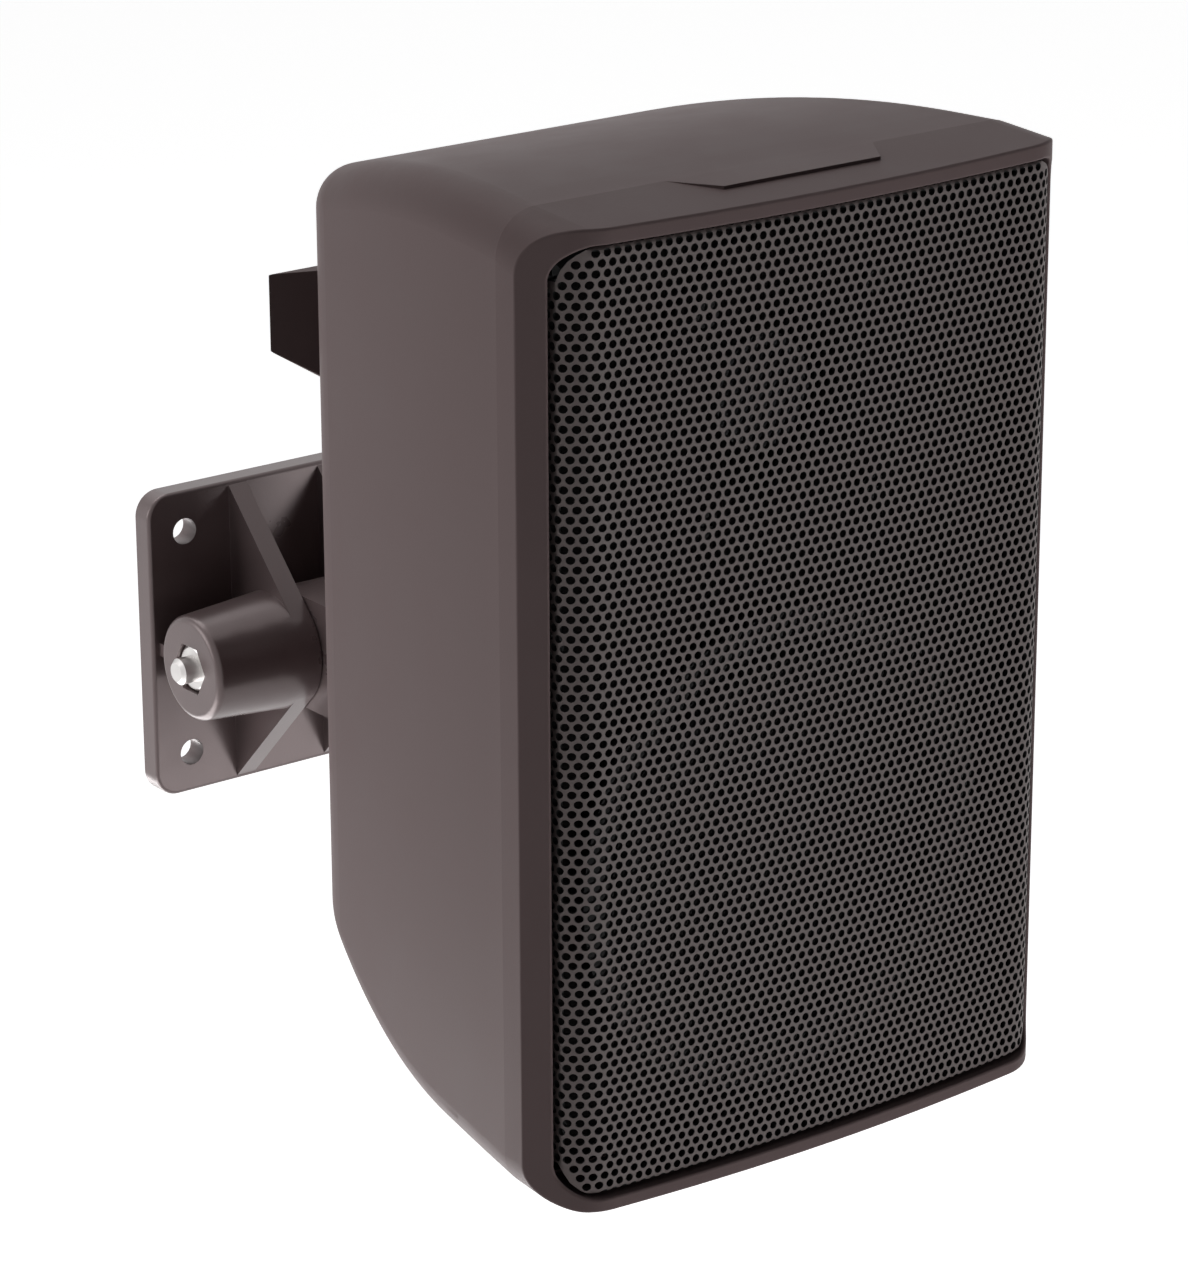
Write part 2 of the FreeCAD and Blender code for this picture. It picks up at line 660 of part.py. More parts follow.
band = Piece("band")
band_loft = band.feature("AdditiveLoft", band.draw("front", at_depth(of("kink_depth")), (0, 0), band_rear))
band_loft.Sections = [band.draw("front", at_depth(-of("band_lead")), (0, 0), band_front)]
band_loft.Ruled = True
band.body.Tip = band_loft
doc.recompute()
bezel_form = Piece("bezel_form").pad(
    "top", at_height(-of("bottom_drop") - of("band_fall") - past), at_height(of("top_height") + past), bezel_plan)
bezel_block = combine("Common", "bezel_block", band.body, bezel_form.body)


def outer_edge(edge, faces):
    """The bezel's outer edge, where its face meets the band."""
    forward = [facing(face).y < -0.5 for face in faces]
    if forward.count(True) == 1 and depth_span(edge)[1] < at_depth(of("kink_depth")).value - 1:
        return of("edge_round")
    return None


bezel_soft = round_edges("bezel_soft", bezel_block, outer_edge)
recess_half = half_kink - of("rim_side")
recess_high = at_height(of("top_height") - of("rim_top"))
recess_low = at_height(of("rim_bottom") - of("bottom_drop"))
recess = Piece("recess").pad(
    "front", at_depth(-2 * of("band_lead")), at_depth(of("floor_depth")), lambda drawing: drawing.rounded(
        -recess_half, recess_low, recess_half, recess_high, of("recess_round"), of("recess_round")))
bezel_open = combine("Cut", "bezel_open", bezel_soft, recess.body)


def rim_edge(edge, faces):
    """The recess's rim: the front edge of its walls."""
    box = edge.BoundBox
    inside = max(abs(box.XMin), abs(box.XMax)) < recess_half.value + 0.01
    tall = box.ZMin > recess_low.value - 0.01 and box.ZMax < recess_high.value + 0.01
    ahead = depth_span(edge)[1] < at_depth(of("floor_depth")).value - 0.5
    flat = depth_span(edge)[1] - depth_span(edge)[0] < of("floor_depth").value / 2
    walls = [abs(facing(face).y) < 0.01 for face in faces]
    if inside and tall and ahead and flat and walls.count(True) == 1:
        return of("rim_round")
    return None


bezel_rim = round_edges("bezel_rim", bezel_open, rim_edge)
tongue_half = half_kink - of("wall") - of("tongue_gap")
tongue = Piece("tongue").pad(
    "front", at_depth(of("kink_depth") - 1), at_depth(board_back), lambda drawing: drawing.rounded(
        -tongue_half, at_height(-of("bottom_drop") + of("wall") + of("tongue_gap")), tongue_half,
        at_height(of("top_height") - of("wall") - of("tongue_gap")), of("bottom_round"), of("top_round")))
tab_near = of("tab_front_width") / 2
tab_far = of("tab_rear_width") / 2
tab = Piece("tab").pad(
    "top", at_height(of("top_height") - of("tab_thick")), at_height(of("top_height")), lambda drawing: drawing.loop([
        (-tab_near, at_depth(of("tab_front"))), (tab_near, at_depth(of("tab_front"))),
        (tab_far, at_depth(of("kink_depth"))), (-tab_far, at_depth(of("kink_depth")))]))
baffle_solid = combine("MultiFuse", "baffle_solid", bezel_rim, tongue.body, tab.body)
woofer_z = at_height(-of("woofer_share") * of("bottom_drop"))
tweeter_z = at_height(of("tweeter_share") * of("top_height"))
mouth_r = of("woofer_r") - of("mouth_in")
surround_r = of("woofer_r") - of("surround_in")
cone_r = surround_r - of("roll_width")
woofer_hole_r = mouth_r + of("woofer_hole_gap")
woofer_screw_r = (of("woofer_r") + woofer_hole_r) / 2
tweeter_hole_r = of("tweeter_back_r") + of("woofer_hole_gap")
tweeter_screw_r = (of("tweeter_r") + tweeter_hole_r) / 2


def ring_places(centre, radius, count):
    """Places evenly round an axis, starting halfway between the level and the vertical."""
    turns = [math.radians(360 * (step + 0.5) / count) for step in range(count)]
    return [(radius * math.cos(turn), centre + radius * math.sin(turn)) for turn in turns]


woofer_places = ring_places(woofer_z, woofer_screw_r, 4)
tweeter_places = ring_places(tweeter_z, tweeter_screw_r, 4)
openings = posts("board_openings", "front", [(0, woofer_z)],
                 [(woofer_hole_r, at_depth(of("floor_depth") - 1), at_depth(board_back + 1))])
openings.pad("front", at_depth(of("floor_depth") - 1), at_depth(board_back + 1),
             lambda drawing: drawing.circle(0, tweeter_z, tweeter_hole_r))


def pilot_holes(drawing):
    for x, z in woofer_places + tweeter_places + baffle_places:
        drawing.circle(x, z, screw_hole_r)


openings.pad("front", at_depth(of("floor_depth") - 1), at_depth(board_back + 1), pilot_holes)
node(combine("Cut", "front_baffle", baffle_solid, openings.body))

baffle_screws = posts("baffle_screws", "front", baffle_places, [
    (of("head_r"), at_depth(of("floor_depth") - of("head_thick")), at_depth(of("floor_depth"))),
    (of("baffle_screw_r"), at_depth(of("floor_depth")), at_depth(of("floor_depth") + of("baffle_screw_len")))])
cross_recess(baffle_screws, at_depth(of("floor_depth") - of("head_thick")), baffle_places)
node(baffle_screws)

# Grille: a pressed steel pan, bowed in front and bevelled at the sides
grille_half = recess_half - of("grille_side_gap")
grille_round = of("recess_round") - of("grille_gap")


def front_edge(edge, faces):
    """The edge round the grille's front, where it bends back into the sides."""
    walls = [abs(facing(face).y) < 0.01 for face in faces]
    if walls.count(True) == 1 and depth_span(edge)[1] < at_depth(of("floor_depth")).value - 1:
        return of("grille_bend")
    return None


def grille_form(label, inset):
    """The pan's outside, or its hollow when drawn in by the sheet."""
    half = grille_half - inset
    margin = of("grille_gap") + inset
    block = Piece(f"{label}_block").pad(
        "front", at_depth(-1), at_depth(of("floor_depth")), lambda drawing: drawing.rounded(
            -half, recess_low + margin, half, recess_high - margin, grille_round - inset, grille_round - inset))
    bowed = Piece(f"{label}_bowed").pad("top", recess_low, recess_high, lambda drawing: front_plan(
        drawing, measure(0), grille_half - of("grille_turn"), of("grille_roll"), of("grille_angle"), inset,
        recess_half, of("floor_depth") + 1))
    return combine("Common", f"{label}_form", block.body, bowed.body)


pan = round_edges("grille_pan", grille_form("grille_outer", measure(0)), front_edge)
node(combine("Cut", "grille", pan, grille_form("grille_hollow", of("sheet"))))

# Woofer: pressed basket, moving cone, and the motor behind; profiles are (depth, radius)
flange_back = of("floor_depth") - of("gasket_thick")
flange_front = flange_back - of("woofer_flange")
plate_front = of("floor_depth") + of("basket_len")
plate_back = plate_front + of("plate_thick_top")
magnet_back = plate_back + of("magnet_thick")
yoke_back = magnet_back + of("yoke_thick")
skin = of("basket_skin")
basket_floor = plate_front - skin
spider_seat = basket_floor - of("spider_land")
spider_edge = of("spider_r") + of("spider_lip")
basket_lip_r = surround_r - 2 * of("lip")
woofer_axis = (0, woofer_z)


def turned(label, axis, points):
    """A piece turned round a driver's axis, its profile in depths and radii."""
    return Piece(label).turn("side", axis, lambda drawing: drawing.loop(
        [(at_depth(point[0]), *point[1:]) for point in points]))


basket = turned("woofer_basket", woofer_axis, [
    (flange_front, basket_lip_r), (flange_front, of("woofer_r")),
    (flange_back, of("woofer_r")), (flange_back, mouth_r),
    (board_back, mouth_r), (basket_floor, of("basket_foot_r")),
    (plate_front, of("basket_foot_r")), (plate_front, of("basket_eye_r")),
    (basket_floor, of("basket_eye_r")), (basket_floor, of("spider_r")),
    (spider_seat, of("spider_r")), (spider_seat, spider_edge),
    (basket_floor, spider_edge), (board_back, mouth_r - skin),
    (flange_front + skin, mouth_r - skin), (flange_front + skin, basket_lip_r)])


def basket_openings(drawing):
    """Windows between the basket's legs."""
    inner = of("basket_foot_r") + skin
    outer = mouth_r - skin - skin
    count = int(of("basket_windows").value)
    for step in range(count):
        near = math.radians(360 * (step + 0.18) / count)
        far = math.radians(360 * (step + 0.82) / count)
        drawing.loop([
            (inner * math.cos(near), inner * math.sin(near)),
            (outer * math.cos(near), outer * math.sin(near), outer, 1),
            (outer * math.cos(far), outer * math.sin(far)),
            (inner * math.cos(far), inner * math.sin(far), inner, -1)])


def woofer_screw_holes(drawing):
    for x, z in woofer_places:
        drawing.circle(x, z, screw_hole_r)


basket.cut("front", at_depth(board_back), at_depth(basket_floor), basket_openings, shift=woofer_axis)
basket.cut("front", at_depth(flange_front - 1), at_depth(flange_back + 1), woofer_screw_holes)
node(basket)
gasket = turned("woofer_gasket", woofer_axis, [
    (flange_back, mouth_r), (flange_back, of("woofer_r")),
    (of("floor_depth"), of("woofer_r")), (of("floor_depth"), mouth_r)])
gasket.cut("front", at_depth(flange_back - 1), at_depth(of("floor_depth") + 1), woofer_screw_holes)
node(gasket)
coil_out = of("coil_r") + of("coil_wall")
gap_r = coil_out + of("gap_clear")
pole_r = of("coil_r") - of("gap_clear")
iron_r = of("magnet_r") - of("magnet_lip")
node(turned("woofer_top_plate", woofer_axis, [
    (plate_front, gap_r), (plate_back, gap_r), (plate_back, iron_r), (plate_front, iron_r)]))
node(turned("woofer_magnet", woofer_axis, [
    (plate_back, of("magnet_eye_r")), (magnet_back, of("magnet_eye_r")),
    (magnet_back, of("magnet_r")), (plate_back, of("magnet_r"))]))
node(turned("woofer_yoke", woofer_axis, [
    (plate_front, 0), (plate_front, pole_r), (magnet_back, pole_r),
    (magnet_back, iron_r), (yoke_back, iron_r), (yoke_back, 0)]))
cone_edge = flange_front
cone_neck = cone_edge + of("cone_drop")
thick = of("cone_thick")
node(turned("woofer_cone", woofer_axis, [
    (cone_edge, cone_r), (cone_edge + thick, cone_r), (cone_neck + thick, coil_out + thick),
    (cone_neck + 3 * thick, coil_out), (cone_neck, coil_out), (cone_neck, coil_out + thick)]))
coil_head = cone_neck - thick
coil_tail = plate_back + of("throw") + thick
node(turned("woofer_voice_coil", woofer_axis, [
    (coil_head, of("coil_r")), (coil_tail, of("coil_r")), (coil_tail, coil_out), (coil_head, coil_out)]))


def dome_profile(edge_depth, edge_r, rise, film):
    """A thin cap: the outer arc, then the inner arc back to the edge."""
    ball = (rise * rise + edge_r * edge_r) / (2 * rise)
    crown = edge_depth - rise
    inner_r = root((ball - film) * (ball - film) - (ball - rise) * (ball - rise))
    return [(edge_depth, edge_r, ball, 1), (crown, 0), (crown + film, 0, ball - film, -1), (edge_depth, inner_r)]


cone_slope = of("cone_drop") / (cone_r - coil_out - thick)
cap_edge = cone_edge + (cone_r - of("cap_r")) * cone_slope
node(turned("woofer_dust_cap", woofer_axis, dome_profile(cap_edge, of("cap_r"), of("cap_rise"), thick)))
roll_middle = (cone_r + surround_r) / 2
roll_in = (surround_r - cone_r) / 2
rubber = of("surround_skin")
roll_out = roll_in + rubber
roll_foot = root(roll_out * roll_out - rubber * rubber)
node(turned("woofer_surround", woofer_axis, [
    (cone_edge, cone_r - of("lip")), (cone_edge, cone_r, roll_in, -1),
    (cone_edge - roll_in, roll_middle, roll_in, -1), (cone_edge, surround_r),
    (cone_edge, surround_r + of("lip")), (cone_edge - rubber, surround_r + of("lip")),
    (cone_edge - rubber, roll_middle + roll_foot, roll_out, 1),
    (cone_edge - roll_out, roll_middle, roll_out, 1),
    (cone_edge - rubber, roll_middle - roll_foot), (cone_edge - rubber, cone_r - of("lip"))]))
cloth = of("spider_skin")
SPIDER_WAVES = 4
spider_front = []
for step in range(2 * SPIDER_WAVES + 1):
    radius = coil_out + (of("spider_r") - coil_out) * (step / (2 * SPIDER_WAVES))
    spider_front.append((spider_seat - cloth - of("spider_wave") * (step % 2), radius))
spider_front.append((spider_seat - cloth, spider_edge))
spider_rear = [(depth + cloth, radius) for depth, radius in reversed(spider_front)]
node(turned("woofer_spider", woofer_axis, spider_front + spider_rear))

# Tweeter: face plate with a short horn, a dome on its coil, and the magnet
face_front = of("floor_depth") - of("tweeter_flange")
throat = face_front + of("horn_depth")
seat_back = throat + of("throat_floor")
tweeter_axis = (0, tweeter_z)
throat_r = of("dome_r") + of("throat_lip")
eye_r = of("dome_r") + of("tweeter_gap")
face = turned("tweeter_face", tweeter_axis, [
    (face_front, of("horn_r")), (face_front, of("tweeter_r")),
    (of("floor_depth"), of("tweeter_r")), (of("floor_depth"), of("tweeter_back_r")),
    (seat_back, of("tweeter_back_r")), (seat_back, eye_r),
    (throat, eye_r), (throat, throat_r, of("horn_curve"), -1)])
face.cut("front", at_depth(face_front - 1), at_depth(of("floor_depth") + 1),
         lambda drawing: [drawing.circle(x, z, screw_hole_r) for x, z in tweeter_places])
node(face)
film = of("dome_skin")
dome_edge = throat - 2 * of("dome_throw")
node(turned("tweeter_dome", tweeter_axis, dome_profile(dome_edge, of("dome_r"), of("dome_rise"), film)))
former_in = of("dome_r") - film
former_end = seat_back + of("tweeter_coil_len")
node(turned("tweeter_voice_coil", tweeter_axis, [
    (dome_edge, former_in), (former_end, former_in), (former_end, of("dome_r")), (dome_edge, of("dome_r"))]))
halfway = (of("dome_r") + throat_r) / 2
node(turned("tweeter_surround", tweeter_axis, [
    (dome_edge, of("dome_r")), (throat - film, halfway), (throat - film, throat_r),
    (throat, throat_r), (throat, halfway), (dome_edge + film, of("dome_r"))]))
tweeter_magnet_back = seat_back + of("tweeter_magnet_thick")
groove_end = former_end + of("dome_throw") + of("tweeter_gap")
node(turned("tweeter_magnet", tweeter_axis, [
    (seat_back, 0), (seat_back, former_in - of("tweeter_gap")), (groove_end, former_in - of("tweeter_gap")),
    (groove_end, eye_r), (seat_back, eye_r), (seat_back, of("tweeter_magnet_r")),
    (tweeter_magnet_back, of("tweeter_magnet_r")), (tweeter_magnet_back, 0)]))


def driver_screws(label, places, seat):
    """Cross-head screws through a driver's flange into the board."""
    screws = posts(label, "front", places, [
        (of("head_r"), at_depth(seat - of("head_thick")), at_depth(seat)),
        (of("baffle_screw_r"), at_depth(seat), at_depth(seat + of("driver_screw_len")))])
    cross_recess(screws, at_depth(seat - of("head_thick")), places)
    return screws


node(driver_screws("woofer_screws", woofer_places, flange_front))
node(driver_screws("tweeter_screws", tweeter_places, face_front))

# Crossover: a circuit board on the shell's standoffs with its three parts
circuit_back = of("circuit_front") + of("circuit_depth")
circuit_high = circuit_low + of("circuit_thick")
half_circuit = of("circuit_width") / 2
circuit = Piece("crossover_board").pad("top", circuit_low, circuit_high, lambda drawing: drawing.box(
    -half_circuit, at_depth(of("circuit_front")), half_circuit, at_depth(circuit_back)))
circuit.cut("top", circuit_low - 1, circuit_high + 1,
            lambda drawing: [drawing.circle(x, y, circuit_hole_r) for x, y in circuit_places])
node(circuit)
node(posts("crossover_screws", "top", circuit_places, [
    (of("circuit_screw_r"), circuit_high - of("circuit_screw_len"), circuit_high),
    (of("circuit_head_r"), circuit_high, circuit_high + of("circuit_head_thick"))]))
circuit_middle = at_depth((of("circuit_front") + circuit_back) / 2)


def choke_rings(drawing):
    drawing.circle(-of("choke_x"), circuit_middle, of("choke_r"))
    drawing.circle(-of("choke_x"), circuit_middle, of("choke_hole_r"))


node(Piece("crossover_choke").pad("top", circuit_high, circuit_high + of("choke_tall"), choke_rings))
node(Piece("crossover_capacitor").pad("side", 0, of("capacitor_len"), lambda drawing: drawing.circle(
    circuit_middle + of("part_pitch"), circuit_high + of("capacitor_r"), of("capacitor_r"))))
resistor_y = circuit_middle - of("part_pitch")
resistor_half = of("resistor_wide") / 2
node(Piece("crossover_resistor").pad(
    "top", circuit_high, circuit_high + of("resistor_tall"), lambda drawing: drawing.box(
        0, resistor_y - resistor_half, of("resistor_len"), resistor_y + resistor_half)))

# Damping wadding against the inside of the back
inner_back = back_depth - of("wall")
wadding_box = Piece("wadding_box").pad(
    "front", at_depth(inner_back - of("wadding_thick")), at_depth(back_depth), lambda drawing: drawing.box(
        -of("wadding_half"), of("wadding_low"), of("wadding_half"), of("wadding_low") + of("wadding_tall")))
node(combine("Common", "damping_wadding", hollow_form, wadding_box.body))

# Terminal cover on the back: wide and swept at its ends, with the cable entry below
cover_low_end = of("cover_top") - of("cover_end")
cover_drop = (of("cover_half") - of("cover_foot")) * sine(of("slope_angle")) / cosine(of("slope_angle"))
cover_bottom = cover_low_end - cover_drop
cover_rear = back_depth + of("cover_thick")
cover_run = of("cover_half") - of("cover_root")
cover_slant = root(cover_run * cover_run + of("cover_thick") * of("cover_thick"))
cover_side = of("cover_wall") * cover_slant / of("cover_thick")


def cover_form(label, inset, side_inset):
    """The cover's outer form, or its hollow when drawn in by the wall."""
    half = of("cover_half") - side_inset
    roof = at_height(of("cover_top") - inset)
    eave = at_height(cover_low_end + inset)
    floor = at_height(cover_bottom + inset)
    rear = at_depth(cover_rear - inset)
    front = at_depth(back_depth)
    face_on = Piece(f"{label}_face").pad("front", front, rear, lambda drawing: drawing.loop([
        (-half, roof), (-half, eave), (-of("cover_foot"), floor),
        (of("cover_foot"), floor), (half, eave), (half, roof)]))
    lean = half - cover_run
    above = Piece(f"{label}_above").pad("top", floor - past, roof + past, lambda drawing: drawing.loop([
        (-lean, front), (lean, front), (half, at_depth(cover_rear)), (-half, at_depth(cover_rear))]))
    return combine("Common", f"{label}_form", face_on.body, above.body)


cover_outer = cover_form("cover", measure(0), measure(0))
cover_hollow = cover_form("cover_hollow", of("cover_wall"), cover_side)
cover_shell = combine("Cut", "cover_shell", cover_outer, cover_hollow)
cover_posts = posts("cover_posts", "front", cover_places,
                    [(of("cover_post_r"), at_depth(back_depth), at_depth(cover_rear - of("cover_wall") / 2))])
cover_solid = combine("MultiFuse", "cover_solid", cover_shell, cover_posts.body)
entry_depth = (back_depth + cover_rear - of("cover_wall")) / 2
cover_cuts = Piece("cover_cuts").pad(
    "top", at_height(cover_bottom - 1), at_height(cover_bottom + of("cover_wall") + 1), lambda drawing: drawing.box(
        -of("entry_wide") / 2, at_depth(entry_depth - of("entry_deep") / 2),
        of("entry_wide") / 2, at_depth(entry_depth + of("entry_deep") / 2)))
cover_cuts.pad("front", at_depth(back_depth - 1), at_depth(cover_rear + 1),
               lambda drawing: [drawing.circle(x, z, cover_hole_r) for x, z in cover_places])
node(combine("Cut", "terminal_cover", cover_solid, cover_cuts.body))
node(posts("cover_screws", "front", cover_places, [
    (of("cover_screw_r"), at_depth(inner_back + of("pilot_gap")), at_depth(cover_rear)),
    (of("cover_head_r"), at_depth(cover_rear), at_depth(cover_rear + of("cover_head_thick")))]))
terminal_mid = at_height((of("cover_top") + cover_bottom) / 2)
terminal_low = terminal_mid - of("terminal_height") / 2
half_terminal = of("cover_root") - cover_side - of("terminal_gap")
terminal_back = back_depth + of("terminal_thick")
terminal = Piece("terminal_block").pad(
    "front", at_depth(back_depth), at_depth(terminal_back), lambda drawing: drawing.box(
        -half_terminal, terminal_low, half_terminal, terminal_low + of("terminal_height")))


def wire_holes(drawing):
    middle = at_depth((back_depth + terminal_back) / 2)
    for side in (-1, 1):
        drawing.circle(side * of("terminal_pitch") / 2, middle, of("terminal_hole_r"))


terminal.cut("top", terminal_low, terminal_mid, wire_holes)
node(terminal)

# Wall bracket: one moulding, a plate with two webs and two pivot hubs
half_plate = of("plate") / 2
pivot_y = -of("pivot_out")
plate_front_y = -of("plate_thick")
web_outside = of("web_inside") + of("web")
pivot_hole_r = of("pivot_r") + of("pivot_gap")
bracket = Piece("wall_bracket").pad("front", plate_front_y, 0, lambda drawing: drawing.rounded(
    -half_plate, -half_plate, half_plate, half_plate, of("plate_round"), of("plate_round")))
bracket.fillet(lambda edge: depth_span(edge)[1] < plate_front_y.value + 0.01, of("plate_edge"))

# Each web runs from the plate's edge straight to a tangent on the hub
corner_out = of("pivot_out") - of("plate_thick")
web_reach = half_plate - of("plate_edge")
corner_square = corner_out * corner_out + web_reach * web_reach
tangent_run = root(corner_square - of("hub_root_r") * of("hub_root_r"))
pull = of("hub_root_r") * of("hub_root_r") / corner_square
swing = of("hub_root_r") * tangent_run / corner_square
touch_y = pivot_y + corner_out * pull - web_reach * swing
touch_z = web_reach * pull + corner_out * swing


def web_outline(drawing):
    drawing.loop([
        (plate_front_y, -web_reach), (plate_front_y, web_reach),
        (touch_y, touch_z, of("hub_root_r"), 1), (touch_y, -touch_z)])


for inner in (-web_outside, of("web_inside")):
    bracket.pad("side", inner, inner + of("web"), web_outline)


def hub(side):
    """One pivot hub's profile along X, tapering to its end."""
    end = half_plate * side
    return lambda drawing: drawing.loop([
        (web_outside * side, 0), (web_outside * side, of("hub_root_r")),
        (end - of("hub_round") * side, of("hub_end_r"), of("hub_round"), -side),
        (end, of("hub_end_r") - of("hub_round")), (end, 0)])


for side in (-1, 1):
    bracket.turn("top", (0, pivot_y), hub(side))


def rib_outline(drawing):
    far = half_plate - of("hub_round")
    drawing.box(-far, pivot_y, -web_outside, plate_front_y)
    drawing.box(web_outside, pivot_y, far, plate_front_y)


bracket.pad("top", -of("rib") / 2, of("rib") / 2, rib_outline)
bracket.cut("side", -half_plate - 1, half_plate + 1, lambda drawing: drawing.circle(pivot_y, 0, pivot_hole_r))
recess_across = of("hex") + 2 * of("hex_gap")
head_seat = half_plate - of("hex_depth")
for low, high in ((-half_plate - 1, -head_seat), (head_seat, half_plate + 1)):
    bracket.cut("side", low, high, lambda drawing: drawing.hexagon(pivot_y, 0, recess_across))
half_pitch = of("bolt_pitch") / 2
wall_places = [(side * half_pitch, level * half_pitch) for side in (-1, 1) for level in (-1, 1)]
bracket.cut("front", plate_front_y - 1, 1,
            lambda drawing: [drawing.circle(x, z, of("bolt_hole_r")) for x, z in wall_places])
node(bracket)

# Pivot bolt and nut, clamped through both hubs
bolt_end = -half_plate - of("stub")
bolt = Piece("pivot_bolt").turn("top", (0, pivot_y), lambda drawing: drawing.loop([
    (bolt_end, 0), (bolt_end, of("pivot_r") - of("tip")), (bolt_end + of("tip"), of("pivot_r")),
    (head_seat, of("pivot_r")), (head_seat, 0)]))
bolt.pad("side", head_seat, head_seat + of("head"), lambda drawing: drawing.hexagon(pivot_y, 0, of("hex")))


def hex_chamfer(end, side):
    """The turned chamfer on a hexagon's outer face."""
    corner = of("hex") / math.sqrt(3) + 1
    fall = (corner - of("nut_face_r")) / 2
    return lambda drawing: drawing.loop([
        (end, of("nut_face_r")), (end + side, of("nut_face_r")), (end + side, corner), (end - fall * side, corner)])


bolt.turn("top", (0, pivot_y), hex_chamfer(head_seat + of("head"), 1), "Groove")
node(bolt)
nut_face = -head_seat - of("nut")
nut = Piece("pivot_nut").pad("side", nut_face, -head_seat, lambda drawing: drawing.hexagon(pivot_y, 0, of("hex")))
nut.cut("side", nut_face - 1, 1 - head_seat, lambda drawing: drawing.circle(pivot_y, 0, of("pivot_r")))
nut.turn("top", (0, pivot_y), hex_chamfer(nut_face, -1), "Groove")
node(nut)

# Tilt arm: a knuckle between the webs, a neck, and a foot screwed to the cabinet
arm_half = of("web_inside") - of("arm_gap")
arm_front = at_depth(back_depth)
foot_back = at_depth(back_depth + of("foot_thick"))
arm = Piece("tilt_arm").pad("side", -arm_half, arm_half, lambda drawing: drawing.loop([
    (arm_front, -of("arm_r")), (pivot_y, -of("arm_r"), of("arm_r"), 1),
    (pivot_y + of("arm_r"), 0, of("arm_r"), 1), (pivot_y, of("arm_r")), (arm_front, of("arm_r"))]))
arm.pad("front", arm_front, foot_back, lambda drawing: drawing.rounded(
    -of("foot_width") / 2, -of("foot_down"), of("foot_width") / 2, of("foot_up"), of("foot_round"), of("foot_round")))
arm.cut("side", -arm_half - 1, arm_half + 1, lambda drawing: drawing.circle(pivot_y, 0, pivot_hole_r))
arm.cut("front", arm_front - 1, foot_back + 1,
        lambda drawing: [drawing.circle(x, z, arm_hole_r) for x, z in arm_places])
node(arm)
head_top = foot_back + of("arm_head_thick")
arm_screws = posts("arm_screws", "front", arm_places, [
    (of("arm_screw_r"), foot_back - of("arm_screw_len"), foot_back), (of("arm_head_r"), foot_back, head_top)])
arm_screws.pocket_top(head_top, of("arm_socket_deep"),
                      lambda drawing: [drawing.hexagon(x, z, of("arm_socket")) for x, z in arm_places])
node(arm_screws)

# Check every object, then write each sub-part
for made in doc.Objects:
    if "Invalid" in made.State or "Error" in made.State:
        raise ValueError(f"{made.Label} failed to build: {made.State}")
for made in nodes:
    if made.Shape.isNull() or not made.Shape.isValid():
        raise ValueError(f"{made.Label} is not a valid shape")
os.makedirs("parts", exist_ok=True)
for made in nodes:
    made.Shape.exportStep(f"parts/{made.Label}.step")
    box = made.Shape.BoundBox
    print(f"{made.Label}: {len(made.Shape.Solids)} solids, {made.Shape.Volume / 1000:.2f} cm3, "
          f"X {box.XMin:.1f}..{box.XMax:.1f} Y {box.YMin:.1f}..{box.YMax:.1f} Z {box.ZMin:.1f}..{box.ZMax:.1f}")
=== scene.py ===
import json
import math

import bpy
from mathutils import Matrix, Vector


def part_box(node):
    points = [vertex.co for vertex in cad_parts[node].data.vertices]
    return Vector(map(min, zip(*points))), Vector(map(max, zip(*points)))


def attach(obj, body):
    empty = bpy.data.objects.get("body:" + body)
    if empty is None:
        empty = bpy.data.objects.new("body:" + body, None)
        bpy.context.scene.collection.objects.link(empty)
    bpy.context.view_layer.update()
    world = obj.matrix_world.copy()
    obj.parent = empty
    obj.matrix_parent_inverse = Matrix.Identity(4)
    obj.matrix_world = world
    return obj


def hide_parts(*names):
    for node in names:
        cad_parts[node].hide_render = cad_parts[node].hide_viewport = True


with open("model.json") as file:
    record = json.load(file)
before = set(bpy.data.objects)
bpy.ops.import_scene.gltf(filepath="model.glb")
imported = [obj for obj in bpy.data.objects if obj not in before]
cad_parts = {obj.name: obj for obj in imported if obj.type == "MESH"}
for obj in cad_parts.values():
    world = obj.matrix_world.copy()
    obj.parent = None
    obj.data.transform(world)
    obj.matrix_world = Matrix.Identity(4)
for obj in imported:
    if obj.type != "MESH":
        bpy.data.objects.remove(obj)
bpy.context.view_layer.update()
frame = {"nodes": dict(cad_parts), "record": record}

MM = 0.001
REACH = 262.5  # from the wall to the grille's front
RISE = 52.8  # from the pivot to the cabinet's middle


def place(x, depth, height):
    """A point in metres from millimetres: across, behind the grille's front, above the cabinet's middle."""
    return Vector((x * MM, (depth - REACH) * MM, (height + RISE) * MM))


# Materials

def principled(name, colour, roughness, metallic=0.0, specular=0.5, sheen=(1.0, 1.0, 1.0)):
    made = bpy.data.materials.new(name)
    made.use_nodes = True
    shader = made.node_tree.nodes["Principled BSDF"]
    shader.inputs["Base Color"].default_value = (*colour, 1)
    shader.inputs["Roughness"].default_value = roughness
    shader.inputs["Metallic"].default_value = metallic
    shader.inputs["Specular IOR Level"].default_value = specular
    shader.inputs["Specular Tint"].default_value = (*sheen, 1)
    return made, made.node_tree, shader


def noise(tree, scale, detail=3.0, rough=0.5):
    """A noise in the row frame; scale is features per metre."""
    where = tree.nodes.new("ShaderNodeTexCoord")
    made = tree.nodes.new("ShaderNodeTexNoise")
    made.inputs["Scale"].default_value = scale
    made.inputs["Detail"].default_value = detail
    made.inputs["Roughness"].default_value = rough
    tree.links.new(where.outputs["Object"], made.inputs["Vector"])
    return made.outputs["Fac"]


